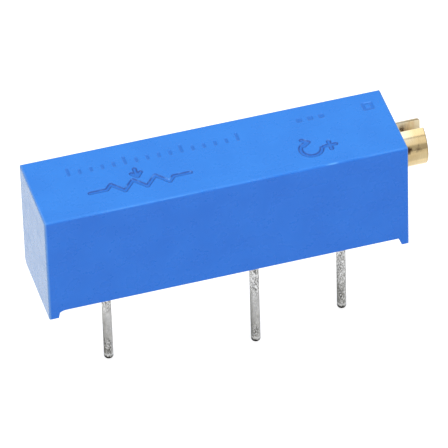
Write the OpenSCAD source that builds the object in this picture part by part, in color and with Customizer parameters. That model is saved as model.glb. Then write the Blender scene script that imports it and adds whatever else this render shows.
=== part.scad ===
// Rectangular trimmer potentiometer, fifteen turns, with its adjusting screw at one end.
// Millimetres. The origin is where the axis of pin 1 meets the board.
// X runs along the housing towards the screw's head, Y runs to the back, Z runs up.

/* [Housing] */
// Length of the housing between its end faces
body_l = 19.3; // [19.2:0.05:24]
// Depth of the housing from front to back
body_d = 4.95; // [4.9:0.05:6.5]
// Height of the housing above the board, standoffs included
body_h = 6.5; // [6.45:0.05:8.5]
// Radius on the housing's outer edges
edge_r = 0.15; // [0.05:0.01:0.25]
// Roof over the cavity
roof_t = 0.5; // [0.4:0.05:0.6]
// Side wall beside the element pocket
side_t = 0.5; // [0.4:0.05:0.5]
// Ledge that the substrate seats against
ledge_w = 0.26; // [0.2:0.01:0.27]
// Depth of the element pocket, from the rim to the ledge
pocket_depth = 1.35; // [1.2:0.05:1.4]
// End walls of the element pocket
pocket_end_t = 0.65; // [0.6:0.05:0.8]
// End wall that holds the screw's journal
far_wall_t = 1.1; // [1.05:0.05:1.3]
// End wall that the screw passes through
head_wall_t = 1.5; // [1.4:0.05:1.8]

/* [Standoffs] */
// Height of the standoffs that lift the rim off the board
standoff_h = 0.48; // [0.42:0.01:0.6]
// Length of the far standoff at the board
far_foot_tip_l = 0.49; // [0.3:0.01:0.5]
// Length of the far standoff at its root
far_foot_root_l = 0.58; // [0.51:0.01:0.6]
// Length of the head end's standoff at the board
head_foot_tip_l = 0.4; // [0.3:0.01:0.45]
// Length of the head end's standoff at its root
head_foot_root_l = 0.58; // [0.46:0.01:0.6]
// Radius of the shallow blend between the far standoff and the rim
foot_blend_r = 0.64; // [0.5:0.01:0.8]
// Length of that blend along the rim
foot_blend_l = 0.34; // [0.25:0.01:0.4]
// Chamfer on the standoffs' back corners
rear_chamfer = 0.36; // [0.1:0.01:0.4]
// Chamfer on the standoffs' front corners
front_chamfer = 0.04; // [0.02:0.01:0.4]

/* [Pins] */
// Distance from the far end face to pin 1
pin_1_inset = 3.62; // [3.5:0.01:3.7]
// Pitch between pin 1 and pin 2
pitch_1_2 = 7.62; // [6.5:0.01:7.62]
// Pitch between pin 2 and pin 3
pitch_2_3 = 5.08; // [5.08:0.01:5.2]
// How far the middle pin stands in front of the other two
pin_2_offset = 1.27; // [1.2:0.01:1.35]
// Diameter of the tinned pin
pin_d = 0.51; // [0.45:0.01:0.62]
// Length of pins 1 and 3 below the board face
pin_drop = 5.62; // [3:0.01:7]
// How much shorter the middle pin is cut
pin_2_short = 0.16; // [0:0.01:0.5]
// Tin on the pin's radius, which stops short of the seal
tin_t = 0.01; // [0.01:0.005:0.02]
// Chamfer on the pin's tip
pin_tip_chamfer = 0.1; // [0.05:0.01:0.15]
// How much the bare shank's radius narrows from the tin up to the head
shank_taper = 0.01; // [0.005:0.005:0.02]
// Radius of the pin's flat head
pin_head_r = 0.32; // [0.32:0.01:0.36]
// Thickness of the pin's head
pin_head_t = 0.1; // [0.08:0.01:0.14]

/* [Adjusting screw] */
// Depth of the screw's axis below the housing's top
axis_drop = 1.9; // [1.75:0.01:1.95]
// Diameter of the slotted head
head_d = 2.4; // [2.3:0.01:2.44]
// How far the head stands out of the housing
head_out = 1.48; // [1.2:0.01:2]
// Width of the driver slot
slot_w = 0.63; // [0.5:0.01:0.8]
// Thickness of the collar that the driver slot leaves under the head
head_collar_t = 0.2; // [0.15:0.01:0.4]
// How much the collar stands out past the slotted part of the head
collar_step = 0.01; // [0.01:0.01:0.03]
// Chamfer on the head's rim
head_chamfer = 0.06; // [0.03:0.01:0.12]
// Diameter of the sealing journal behind the head
journal_d = 1.96; // [1.94:0.01:1.98]
// Diameter of the threaded length
thread_d = 1.8; // [1.6:0.05:1.9]
// Diameter of the neck that the retainer straddles
neck_d = 1.2; // [1:0.05:1.3]
// Diameter of the far journal
tip_d = 1.0; // [0.8:0.05:1.2]
// Depth of the far journal's socket
socket_depth = 0.6; // [0.4:0.05:0.7]
// Advance of the carriage for one turn
thread_pitch = 0.8; // [0.7:0.01:0.8]
// Turns from one end of travel to the other
turns = 15; // [12:1:15]
// Diameter of the O-ring's squeezed section
o_ring_d = 0.4; // [0.34:0.01:0.42]
// Length of the sealing journal inside the cavity
collar_l = 0.4; // [0.3:0.05:0.5]
// Thickness of the stamped retainer
retainer_t = 0.25; // [0.2:0.01:0.3]
// How far the retainer's edges reach into the side walls
retainer_bite = 0.18; // [0.1:0.01:0.18]

/* [Carriage and contacts] */
// Length of the carriage along the screw
carriage_l = 2.3; // [2:0.05:2.35]
// Room between the element and the carriage
contact_room = 0.75; // [0.7:0.01:0.8]
// Height of the carriage's arms above the screw's axis
arm_rise = 1.1; // [0.9:0.05:1.15]
// Diameter of the posts that stake the contact spring
stake_d = 0.44; // [0.36:0.01:0.46]
// Thickness of the posts' flattened heads
stake_head_t = 0.12; // [0.08:0.01:0.15]
// Distance from the carriage's middle to each post
stake_y = 0.62; // [0.58:0.01:0.66]
// Length of the contact spring's flat plate
plate_l = 0.62; // [0.6:0.01:0.66]
// Thickness of the contact spring
spring_t = 0.1; // [0.08:0.01:0.12]
// Length of the contact spring's bent arms
spring_arm_l = 0.65; // [0.55:0.01:0.7]
// Slope of the contact spring's bent arms
spring_slope = 34; // [32:1:38]
// Width of the arm over the resistive track
track_arm_w = 0.5; // [0.45:0.01:0.55]
// Width of the arm over the collector track
collector_arm_w = 0.3; // [0.22:0.01:0.32]
// Diameter of one brush wire
wire_d = 0.09; // [0.07:0.01:0.1]
// Wires in the brush that rides on the resistive track
track_wires = 4; // [2:1:5]
// Wires in the brush that rides on the collector track
collector_wires = 2; // [1:1:2]

/* [Element] */
// Thickness of the ceramic substrate
substrate_t = 0.635; // [0.5:0.005:0.7]
// Thickness of the printed films
film_t = 0.04; // [0.03:0.005:0.06]
// Distance from the pin row to the middle of the resistive track
track_y = 0.95; // [0.9:0.01:1]
// Width of the resistive track
track_w = 0.7; // [0.6:0.01:0.75]
// Distance from the pin row to the middle of the collector track
collector_y = -0.7; // [-0.72:0.01:-0.69]
// Width of the collector track
collector_w = 0.34; // [0.3:0.01:0.36]
// Radius of the pad around each pin
pad_r = 0.44; // [0.42:0.01:0.46]
// Radius of the solder joint at its foot
solder_r = 0.4; // [0.39:0.01:0.42]
// Height of the solder joint above the pin's head
solder_rise = 0.12; // [0.08:0.01:0.16]
// Recess of the bottom seal behind the rim
seal_recess = 0.06; // [0.02:0.01:0.15]

/* [Clearances] */
// Radial clearance of the screw's journals
journal_clear = 0.04; // [0.02:0.01:0.08]
// Radial clearance between the screw and the carriage
nut_clear = 0.05; // [0.03:0.01:0.08]
// Side clearance of the carriage in the cavity
slide_clear = 0.05; // [0.03:0.01:0.1]
// Gap between the housing's end face and the shoulder under the head
head_gap = 0.04; // [0.02:0.01:0.1]
// Axial play of the screw on each side of the retainer
axial_play = 0.08; // [0.05:0.01:0.1]
// Gap around the substrate, the seal and the retainer
fit_gap = 0.03; // [0.01:0.01:0.05]
// Gap on each side of the squeezed O-ring
seal_clear = 0.01; // [0.01:0.01:0.02]
// Gap between the brushes and the films they slide on
brush_gap = 0.02; // [0.01:0.01:0.03]

/* [Moulded marks] */
// Depth of the large marks
mark_depth = 0.06; // [0.03:0.01:0.1]
// Depth of the small marks
small_mark_depth = 0.03; // [0.02:0.01:0.06]
// Stroke width of the large marks
stroke_w = 0.18; // [0.1:0.01:0.2]
// Length of the potentiometer symbol
symbol_l = 5.3; // [4:0.1:6]
// Height of each half of the symbol's zigzag
zigzag_h = 0.34; // [0.2:0.01:0.4]
// Radius of the turning arrow
turn_arrow_r = 0.55; // [0.4:0.01:0.6]
// Spacing of the turn scale's ticks
tick_pitch = 0.6; // [0.5:0.01:0.6]

/* [Hidden] */
$fn = 48;
cut = 0.02;
dot_extra = 0.006;

// housing
far_face_x = -pin_1_inset;
head_face_x = far_face_x + body_l;
front_y = -body_d / 2;
back_y = body_d / 2;
pocket_x0 = far_face_x + pocket_end_t;
pocket_x1 = head_face_x - pocket_end_t;
pocket_y = body_d / 2 - side_t;
cavity_x0 = far_face_x + far_wall_t;
cavity_x1 = head_face_x - head_wall_t;
cavity_y = pocket_y - ledge_w;
seat_z = standoff_h + pocket_depth;
roof_z = body_h - roof_t;

// pins: [x, y] of each
PINS = [[0, 0], [pitch_1_2, -pin_2_offset], [pitch_1_2 + pitch_2_3, 0]];
pin_r = pin_d / 2;
bare_r = pin_r - tin_t;
tin_top_z = standoff_h - 0.05;
film_z = seat_z + film_t;

// screw
axis_z = body_h - axis_drop;
head_end_x = head_face_x + head_out;
head_r = head_d / 2;
shoulder_x = head_face_x + head_gap;
collar_x = shoulder_x + head_collar_t;
slot_floor_x = collar_x - cut;
journal_r = journal_d / 2;
bore_r = journal_r + journal_clear;
neck_x1 = cavity_x1 - collar_l;
neck_x0 = neck_x1 - retainer_t - 2 * axial_play;
retainer_x0 = neck_x0 + axial_play;
retainer_y = cavity_y + retainer_bite;
tip_x = cavity_x0 - socket_depth + 2 * axial_play;
thread_x0 = cavity_x0 + 2 * axial_play;
groove_r = bore_r - o_ring_d - 2 * seal_clear;
groove_w = o_ring_d + 0.16;
groove_x0 = cavity_x1 + (head_wall_t - groove_w) / 2;

// carriage, with the brushes' tips half way between pins 1 and 3
carriage_z0 = seat_z + contact_room;
carriage_z1 = axis_z + arm_rise;
carriage_y = cavity_y - slide_clear;
nut_r = thread_d / 2 + nut_clear;
plate_x0 = -carriage_l / 2 + fit_gap;
bend_x = plate_x0 + plate_l;
bend_z = carriage_z0 - spring_t / 2;
wire_top = spring_t / 2 + 0.004;
wire_drop = (wire_top + wire_d) * cos(spring_slope);
wire_reach = (bend_z - film_z - brush_gap - wire_drop) / sin(spring_slope);
brush_tip_x = bend_x + wire_reach * cos(spring_slope) - (wire_top + wire_d) * sin(spring_slope);
carriage_x = PINS[2][0] / 2 - brush_tip_x;
travel = turns * thread_pitch;
stake_x = plate_x0 + plate_l / 2;
plate_margin = 0.05;

// element
substrate_x0 = pocket_x0 + fit_gap;
substrate_x1 = pocket_x1 - fit_gap;
substrate_y = pocket_y - fit_gap;
substrate_z0 = seat_z - substrate_t;
track_x0 = PINS[0][0] + 0.1;
track_x1 = PINS[2][0] - 0.1;
collector_x0 = PINS[2][0] / 2 - travel / 2 - 0.15;
collector_x1 = PINS[2][0] / 2 + travel / 2 + 0.15;

// A block between two opposite corners.
module block(low, high) {
    translate(low) cube(high - low);
}

// Extrudes an outline drawn in Y and Z along X.
module along_x(x0, x1) {
    translate([x0, 0, 0]) rotate([90, 0, 90]) linear_extrude(x1 - x0) children();
}

// Extrudes an outline drawn in X and Z along Y.
module along_y(y0, y1) {
    translate([0, y1, 0]) rotate([90, 0, 0]) linear_extrude(y1 - y0) children();
}

// A cylinder on the screw's axis.
module on_axis(r, x0, x1) {
    translate([x0, 0, axis_z]) rotate([0, 90, 0]) cylinder(r = r, h = x1 - x0);
}

// The two upper corners of an outline, rounded, above a given height.
module rounded_top(x0, x1) {
    translate([x0 + edge_r, standoff_h]) square([x1 - x0 - 2 * edge_r, body_h - standoff_h]);
    for (x = [x0 + edge_r, x1 - edge_r]) translate([x, body_h - edge_r]) circle(edge_r);
}

// The relief under the rim, seen from the front, with the standoffs left standing at its ends.
module standoff_relief() {
    far_tip = far_face_x + far_foot_tip_l;
    far_root = far_face_x + far_foot_root_l;
    head_tip = head_face_x - head_foot_tip_l;
    head_root = head_face_x - head_foot_root_l;
    difference() {
        polygon([[far_tip, -cut], [far_tip, 0], [far_root, standoff_h],
                 [head_root, standoff_h], [head_tip, 0], [head_tip, -cut]]);
        difference() {
            translate([far_tip, standoff_h - foot_blend_r / 2])
                square([far_root - far_tip + foot_blend_l, foot_blend_r / 2 + cut]);
            translate([far_root + foot_blend_l, standoff_h - foot_blend_r]) circle(foot_blend_r);
        }
    }
}

module front_outline() {
    difference() {
        union() {
            translate([far_face_x, 0]) square([body_l, body_h - edge_r]);
            rounded_top(far_face_x, head_face_x);
        }
        standoff_relief();
    }
}

module end_outline() {
    polygon([[front_y + front_chamfer, 0], [back_y - rear_chamfer, 0], [back_y, rear_chamfer],
             [back_y, body_h - edge_r], [front_y, body_h - edge_r], [front_y, front_chamfer]]);
    rounded_top(front_y, back_y);
}

module plan_outline() {
    translate([far_face_x + edge_r, front_y]) square([body_l - 2 * edge_r, body_d]);
    translate([far_face_x, front_y + edge_r]) square([body_l, body_d - 2 * edge_r]);
    for (x = [far_face_x + edge_r, head_face_x - edge_r], y = [front_y + edge_r, back_y - edge_r])
        translate([x, y]) circle(edge_r);
}

// A path of straight strokes with a round dot at each point, a little wider than the stroke.
module stroke_path(points, w) {
    for (i = [1:len(points) - 1]) {
        a = points[i - 1];
        b = points[i];
        translate(a) rotate(atan2(b[1] - a[1], b[0] - a[0]))
            translate([0, -w / 2]) square([norm(b - a), w]);
    }
    for (p = points) translate(p) circle(w / 2 + dot_extra);
}

// An arrowhead with its tip at the origin, pointing down.
module arrow_head() {
    stroke_path([[-0.24, 0.3], [0, 0], [0.24, 0.3]], stroke_w);
}

// Zigzag resistor with an arrow for its wiper.
module potentiometer_symbol() {
    teeth = 6;
    lead = symbol_l / 6;
    step = (symbol_l - 2 * lead) / teeth;
    arrow_tip = zigzag_h + stroke_w;
    arrow_l = 0.62;
    stroke_path([[0, 0], [lead, 0],
                 for (i = [0:teeth - 1]) [lead + (i + 0.5) * step, i % 2 == 0 ? zigzag_h : -zigzag_h],
                 [symbol_l - lead, 0], [symbol_l, 0]], stroke_w);
    translate([symbol_l / 2, arrow_tip]) {
        stroke_path([[0, 0], [0, arrow_l]], stroke_w);
        arrow_head();
    }
}

// Three quarters of a ring with an arrowhead, which shows that the screw turns.
module turning_arrow() {
    inner = turn_arrow_r - stroke_w / 2;
    outer = turn_arrow_r + stroke_w / 2;
    difference() {
        circle(outer);
        circle(inner);
        square(2 * outer);
    }
    translate([0, turn_arrow_r]) rotate(90) arrow_head();
}

// A scale with one tick for each turn and a longer one at every fifth.
module turn_scale() {
    for (i = [0:turns])
        translate([i * tick_pitch, 0]) square([0.11, i % 5 == 0 ? 0.6 : 0.34]);
}

module large_marks() {
    translate([far_face_x + 2.85, -0.85]) potentiometer_symbol();
    translate([head_face_x - 4.75, -1.0]) turning_arrow();
    translate([head_face_x - 3.75, -1.0]) {
        stroke_path([[-0.3, 0], [0.3, 0]], stroke_w);
        stroke_path([[0, -0.3], [0, 0.3]], stroke_w);
    }
}

module small_marks() {
    translate([far_face_x + 2.15, 0.8]) turn_scale();
    for (i = [0:2]) translate([head_face_x - 4.7 + i * 0.6, 1.35]) square(0.26, center = true);
    translate([head_face_x - 1, 1.35]) difference() {
        square(0.56, center = true);
        square(0.32, center = true);
    }
}

// The slots in the side walls that guide the retainer, open to the pocket below.
module retainer_slots() {
    block([retainer_x0 - fit_gap, -retainer_y - fit_gap, seat_z - cut],
          [retainer_x0 + retainer_t + fit_gap, retainer_y + fit_gap, roof_z]);
}

module housing() {
    color([0.24, 0.52, 0.93]) difference() {
        intersection() {
            along_y(front_y, back_y) front_outline();
            along_x(far_face_x, head_face_x) end_outline();
            linear_extrude(body_h) plan_outline();
        }
        block([pocket_x0, -pocket_y, standoff_h - cut], [pocket_x1, pocket_y, seat_z]);
        block([cavity_x0, -cavity_y, seat_z - cut], [cavity_x1, cavity_y, roof_z]);
        retainer_slots();
        on_axis(bore_r, cavity_x1 - cut, head_face_x + cut);
        on_axis(tip_d / 2 + journal_clear, cavity_x0 - socket_depth, cavity_x0 + cut);
        translate([0, 0, body_h - mark_depth]) linear_extrude(mark_depth + cut) large_marks();
        translate([0, 0, body_h - small_mark_depth]) linear_extrude(small_mark_depth + cut) small_marks();
    }
}

// Epoxy poured in behind the substrate. It fills the pocket up to the rim.
module base_seal() {
    color([0.16, 0.33, 0.6]) difference() {
        block([substrate_x0, -substrate_y, standoff_h + seal_recess],
              [substrate_x1, substrate_y, substrate_z0]);
        for (p = PINS) translate([p[0], p[1], 0]) cylinder(r = bare_r + fit_gap / 2, h = seat_z);
    }
}

// Turned in one piece: far journal, thread, neck, sealing journal and slotted head.
module lead_screw() {
    color([0.86, 0.7, 0.36]) difference() {
        translate([0, 0, axis_z]) rotate([0, 90, 0]) rotate_extrude()
            polygon([[0, tip_x], [tip_d / 2, tip_x], [tip_d / 2, thread_x0],
                     [thread_d / 2, thread_x0], [thread_d / 2, neck_x0],
                     [neck_d / 2, neck_x0], [neck_d / 2, neck_x1],
                     [journal_r, neck_x1], [journal_r, groove_x0],
                     [groove_r, groove_x0], [groove_r, groove_x0 + groove_w],
                     [journal_r, groove_x0 + groove_w], [journal_r, shoulder_x],
                     [head_r + collar_step, shoulder_x], [head_r + collar_step, collar_x],
                     [head_r, collar_x], [head_r, head_end_x - head_chamfer],
                     [head_r - head_chamfer, head_end_x], [0, head_end_x]]);
        block([slot_floor_x, -slot_w / 2, axis_z - head_d], [head_end_x + cut, slot_w / 2, axis_z + head_d]);
    }
}

// Rubber ring, squeezed between its groove and the bore.
module o_ring() {
    color([0.1, 0.1, 0.1]) translate([groove_x0 + groove_w / 2, 0, axis_z]) rotate([0, 90, 0])
        rotate_extrude() translate([groove_r + seal_clear + o_ring_d / 2, 0]) circle(d = o_ring_d);
}

// Stamped fork that drops over the screw's neck and stands on the substrate.
module screw_retainer() {
    fork_r = neck_d / 2 + journal_clear;
    color([0.72, 0.72, 0.7]) along_x(retainer_x0, retainer_x0 + retainer_t) difference() {
        translate([-retainer_y, seat_z + fit_gap / 2])
            square([2 * retainer_y, roof_z - seat_z - fit_gap]);
        translate([0, axis_z]) circle(fork_r);
        translate([-fork_r, axis_z]) square([2 * fork_r, roof_z - axis_z]);
    }
}

// Places its children in the carriage's own frame, at the middle of its travel.
module at_carriage() {
    translate([carriage_x, 0, 0]) children();
}

// Saddle with a half nut under the screw, two guide arms beside it and two staking posts below.
module carriage() {
    color([0.93, 0.92, 0.88]) at_carriage() {
        along_x(-carriage_l / 2, carriage_l / 2) difference() {
            translate([-carriage_y, carriage_z0])
                square([2 * carriage_y, carriage_z1 - carriage_z0]);
            translate([0, axis_z]) circle(nut_r);
            translate([-nut_r, axis_z]) square([2 * nut_r, carriage_z1 - axis_z + cut]);
        }
        for (side = [-1, 1]) translate([stake_x, side * stake_y, carriage_z0]) {
            translate([0, 0, -spring_t]) cylinder(d = stake_d, h = spring_t + cut);
            translate([0, 0, -spring_t - stake_head_t]) cylinder(d = stake_d + 0.14, h = stake_head_t);
        }
    }
}

// Places its children where a spring arm bends down, with X along the arm.
module at_bend(y) {
    translate([bend_x, y, bend_z]) rotate([0, spring_slope, 0]) children();
}

// One bent arm of the contact spring.
module spring_arm(y, w) {
    at_bend(y) translate([0, -w / 2, -spring_t / 2]) cube([spring_arm_l, w, spring_t]);
    translate([bend_x, y + w / 2, bend_z]) rotate([90, 0, 0]) cylinder(d = spring_t, h = w);
}

// Stamped spring: a plate staked under the carriage and one arm for each track.
module wiper_spring() {
    plate_y0 = collector_y - collector_arm_w / 2 - plate_margin;
    plate_y1 = track_y + track_arm_w / 2 + plate_margin;
    color([0.85, 0.76, 0.55]) at_carriage() difference() {
        union() {
            block([plate_x0, plate_y0, carriage_z0 - spring_t], [bend_x, plate_y1, carriage_z0]);
            spring_arm(track_y, track_arm_w);
            spring_arm(collector_y, collector_arm_w);
        }
        for (side = [-1, 1]) translate([stake_x, side * stake_y, carriage_z0 - spring_t - cut])
            cylinder(d = stake_d + fit_gap, h = spring_t + 2 * cut);
    }
}

// Parallel wires welded under a spring arm. Their ends ride on a track.
module brush(y, wires) {
    weld_l = spring_arm_l / 2;
    wire_gap = 0.02;
    for (i = [0:wires - 1]) at_bend(y + (i - (wires - 1) / 2) * (wire_d + wire_gap))
        translate([weld_l, 0, -wire_top - wire_d / 2]) rotate([0, 90, 0])
            cylinder(d = wire_d, h = wire_reach - weld_l);
}

module track_brush() {
    color([0.8, 0.8, 0.78]) at_carriage() brush(track_y, track_wires);
}

module collector_brush() {
    color([0.8, 0.8, 0.78]) at_carriage() brush(collector_y, collector_wires);
}

// Alumina strip with a hole for each pin.
module substrate() {
    color([0.95, 0.95, 0.93]) difference() {
        block([substrate_x0, -substrate_y, substrate_z0], [substrate_x1, substrate_y, seat_z]);
        for (p = PINS) translate([p[0], p[1], substrate_z0 - cut])
            cylinder(r = bare_r + fit_gap, h = substrate_t + 2 * cut);
    }
}

// A printed layer on top of the substrate, drawn in plan. It stays inside the cavity and off the pins.
module film() {
    translate([0, 0, seat_z]) linear_extrude(film_t) difference() {
        intersection() {
            union() children();
            translate([cavity_x0, -cavity_y + fit_gap])
                square([cavity_x1 - cavity_x0, 2 * (cavity_y - fit_gap)]);
        }
        for (p = PINS) translate(p) circle(bare_r + fit_gap);
    }
}

module resistive_track() {
    color([0.15, 0.15, 0.17]) film()
        translate([track_x0, track_y - track_w / 2]) square([track_x1 - track_x0, track_w]);
}

// Collector along the front of the travel, with its pad around pin 2.
module collector_track() {
    neck_w = 0.6;
    color([0.78, 0.76, 0.72]) film() {
        translate([collector_x0, collector_y - collector_w / 2])
            square([collector_x1 - collector_x0, collector_w]);
        translate(PINS[1]) circle(pad_r);
        translate(PINS[1] - [neck_w / 2, 0]) square([neck_w, collector_y + pin_2_offset]);
    }
}

// Pad around an end pin, with a tab that meets the end of the resistive track.
module end_pad(i, side) {
    pad_l = 0.5;
    track_end = i == 0 ? track_x0 : track_x1;
    far_edge = track_end + side * pad_l;
    color([0.78, 0.76, 0.72]) film() {
        translate(PINS[i]) circle(pad_r);
        translate([min(track_end, far_edge), 0]) square([pad_l, track_y + track_w / 2]);
    }
}

// Round pin: bare where it passes the seal and the substrate, tinned where it stands out.
module pin(i) {
    tip_z = i == 1 ? pin_2_short - pin_drop : -pin_drop;
    color([0.75, 0.75, 0.76]) translate([PINS[i][0], PINS[i][1], 0]) rotate_extrude()
        polygon([[0, tip_z], [pin_r - pin_tip_chamfer, tip_z],
                 [pin_r, tip_z + pin_tip_chamfer], [pin_r, tin_top_z],
                 [bare_r, tin_top_z], [bare_r - shank_taper, film_z],
                 [pin_head_r, film_z], [pin_head_r, film_z + pin_head_t], [0, film_z + pin_head_t]]);
}

// Solder that wets the pad and covers the pin's head.
module solder(i) {
    head_z = film_z + pin_head_t;
    color([0.7, 0.71, 0.72]) translate([PINS[i][0], PINS[i][1], 0]) rotate_extrude()
        polygon([[pin_head_r, film_z], [solder_r, film_z], [solder_r - 0.03, head_z],
                 [pin_head_r * 0.7, head_z + solder_rise * 0.8], [0, head_z + solder_rise],
                 [0, head_z], [pin_head_r, head_z]]);
}

housing();
base_seal();
lead_screw();
o_ring();
screw_retainer();
carriage();
wiper_spring();
track_brush();
collector_brush();
substrate();
resistive_track();
collector_track();
end_pad(0, -1);  // end_pad_1
end_pad(2, 1);  // end_pad_3
pin(0);  // pin_1
pin(1);  // pin_2
pin(2);  // pin_3
solder(0);  // solder_1
solder(1);  // solder_2
solder(2);  // solder_3
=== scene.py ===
import math

import bmesh
import bpy
import numpy as np
from mathutils import Matrix, Vector, noise


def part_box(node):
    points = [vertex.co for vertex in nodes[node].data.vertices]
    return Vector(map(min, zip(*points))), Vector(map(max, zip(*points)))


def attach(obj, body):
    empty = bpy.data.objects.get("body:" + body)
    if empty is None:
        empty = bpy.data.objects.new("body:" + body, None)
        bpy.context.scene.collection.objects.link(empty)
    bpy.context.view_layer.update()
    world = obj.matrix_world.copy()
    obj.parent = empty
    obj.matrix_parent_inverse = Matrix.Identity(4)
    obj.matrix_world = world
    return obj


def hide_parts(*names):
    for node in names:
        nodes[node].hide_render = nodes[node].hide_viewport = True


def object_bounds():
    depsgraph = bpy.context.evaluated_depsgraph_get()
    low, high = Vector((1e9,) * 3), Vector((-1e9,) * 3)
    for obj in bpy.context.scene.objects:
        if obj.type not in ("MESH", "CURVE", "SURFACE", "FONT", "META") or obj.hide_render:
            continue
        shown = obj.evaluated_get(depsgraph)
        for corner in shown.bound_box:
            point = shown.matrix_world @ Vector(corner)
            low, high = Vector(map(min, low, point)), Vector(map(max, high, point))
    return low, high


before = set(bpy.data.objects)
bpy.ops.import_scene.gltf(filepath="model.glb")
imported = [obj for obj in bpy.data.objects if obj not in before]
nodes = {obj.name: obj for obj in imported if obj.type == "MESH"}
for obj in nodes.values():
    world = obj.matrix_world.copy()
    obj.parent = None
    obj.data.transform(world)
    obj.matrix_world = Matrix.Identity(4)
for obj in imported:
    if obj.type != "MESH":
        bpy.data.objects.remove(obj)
cad_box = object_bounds()
scene = bpy.context.scene

MM = 0.001


def mm_box(node):
    """A CAD node's lowest and highest corners in millimetres."""
    low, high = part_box(node)
    return [round(v / MM, 4) for v in low], [round(v / MM, 4) for v in high]


# every size and place below is in millimetres, in the CAD model's frame, until it goes to Blender
HOUSING_LOW, HOUSING_HIGH = mm_box("housing")
SCREW_LOW, SCREW_HIGH = mm_box("lead_screw")
FAR_X, HEAD_END_X = HOUSING_LOW[0], HOUSING_HIGH[0]
FRONT_Y, BACK_Y = HOUSING_LOW[1], HOUSING_HIGH[1]
TOP_Z = HOUSING_HIGH[2]
AXIS_Z = (SCREW_LOW[2] + SCREW_HIGH[2]) / 2
BELOW_MARKS = 0.11  # a depth under the top that no mark reaches
SLOT_W = 0.63


# ---------------------------------------------------------------- mesh tools
def cad_copy(node):
    """A CAD node's mesh as a bmesh in millimetres, with its faces joined along their seams."""
    bm = bmesh.new()
    bm.from_mesh(nodes[node].data)
    bmesh.ops.scale(bm, vec=(1 / MM,) * 3, verts=bm.verts)
    bmesh.ops.remove_doubles(bm, verts=bm.verts, dist=0.0004)
    loose = [e for e in bm.edges if not e.link_faces]
    bmesh.ops.delete(bm, geom=loose, context="EDGES")
    for layer in list(bm.loops.layers.uv):
        bm.loops.layers.uv.remove(layer)
    bm.normal_update()
    return bm


def dissolve_flat(bm):
    """Joins the triangles of each flat face."""
    bmesh.ops.dissolve_limit(bm, angle_limit=math.radians(0.4), verts=bm.verts, edges=bm.edges)
    bm.normal_update()


def split_wide(bm):
    """Cuts faces of more than four corners into triangles."""
    wide = [f for f in bm.faces if len(f.verts) > 4]
    bmesh.ops.triangulate(bm, faces=wide)


def sharp_edges(bm, degrees, keep=None):
    """Edges between two faces that turn by more than an angle."""
    limit = math.radians(degrees)
    found = []
    for e in bm.edges:
        if len(e.link_faces) == 2 and e.calc_face_angle(0) > limit and (keep is None or keep(e)):
            found.append(e)
    return found


def bevel(bm, edges, width):
    """Rounds edges off in two steps."""
    if edges:
        bmesh.ops.bevel(bm, geom=edges, offset=width, offset_type="OFFSET", segments=2, profile=0.5,
                        affect="EDGES", clamp_overlap=True)
    bm.normal_update()


def quarter_turn():
    """Angles along a rounded corner."""
    return [math.radians(d) for d in range(0, 91, 15)]


def smooth_normals(mesh, degrees, flat_weight=None):
    """Loop normals from the neighbouring faces within an angle, weighted by area, so that flats stay flat."""
    count = len(mesh.polygons)
    normal = np.zeros(count * 3)
    area = np.zeros(count)
    mesh.polygons.foreach_get("normal", normal)
    mesh.polygons.foreach_get("area", area)
    normal = normal.reshape(-1, 3)
    if flat_weight is not None:
        area = area * flat_weight(normal)
    loop_vertex = np.zeros(len(mesh.loops), int)
    mesh.loops.foreach_get("vertex_index", loop_vertex)
    total = np.zeros(count, int)
    mesh.polygons.foreach_get("loop_total", total)
    loop_face = np.repeat(np.arange(count), total)
    order = np.argsort(loop_vertex, kind="stable")
    starts = np.searchsorted(loop_vertex[order], np.arange(len(mesh.vertices) + 1))
    result = np.zeros((len(mesh.loops), 3))
    limit = math.cos(math.radians(degrees))

    # vertices with the same number of loops are worked out together
    size = np.diff(starts)
    for n in np.unique(size[size > 0]):
        group = np.nonzero(size == n)[0]
        loops = order[starts[group][:, None] + np.arange(n)]
        faces = loop_face[loops]
        around = normal[faces]
        near = np.einsum("gic,gjc->gij", around, around) > limit
        weight = near * area[faces][:, None, :]
        mixed = np.einsum("gij,gjc->gic", weight, around)
        mixed /= np.maximum(np.linalg.norm(mixed, axis=2, keepdims=True), 1e-12)
        result[loops.reshape(-1)] = mixed.reshape(-1, 3)
    mesh.normals_split_custom_set([tuple(v) for v in result])


def to_mesh(bm, mesh):
    """Writes a bmesh in millimetres into a mesh in metres, shaded smooth, and frees it."""
    bmesh.ops.recalc_face_normals(bm, faces=bm.faces)
    bmesh.ops.scale(bm, vec=(MM,) * 3, verts=bm.verts)
    for f in bm.faces:
        f.smooth = True
    bm.to_mesh(mesh)
    bm.free()


def make_piece(bm, name, body, replaced, material, degrees, flat_weight=None):
    """Turns a bmesh in millimetres into a finished piece that stands for a CAD node."""
    mesh = bpy.data.meshes.new(name)
    to_mesh(bm, mesh)
    mesh.materials.append(material)
    obj = bpy.data.objects.new(name, mesh)
    scene.collection.objects.link(obj)
    smooth_normals(mesh, degrees, flat_weight)
    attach(obj, body)
    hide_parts(replaced)
    return obj


def lathe(profile, centre, axis, segments):
    """A closed bmesh turned from (along, radius) points, the first and last on the axis."""
    bm = bmesh.new()
    u, v = {"X": (Vector((0, 1, 0)), Vector((0, 0, 1))), "Z": (Vector((1, 0, 0)), Vector((0, 1, 0)))}[axis]
    w = u.cross(v)
    rings = []
    for along, radius in profile:
        middle = Vector(centre) + w * along
        if radius < 1e-6:
            rings.append([bm.verts.new(middle)])
            continue
        rings.append([bm.verts.new(middle + (u * math.cos(a) + v * math.sin(a)) * radius)
                      for a in (2 * math.pi * i / segments for i in range(segments))])
    for a, b in zip(rings, rings[1:]):
        for i in range(segments):
            j = (i + 1) % segments
            if len(a) == 1:
                bm.faces.new((a[0], b[j], b[i]))
            elif len(b) == 1:
                bm.faces.new((a[i], a[j], b[0]))
            else:
                bm.faces.new((a[i], a[j], b[j], b[i]))
    bm.normal_update()
    return bm


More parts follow.
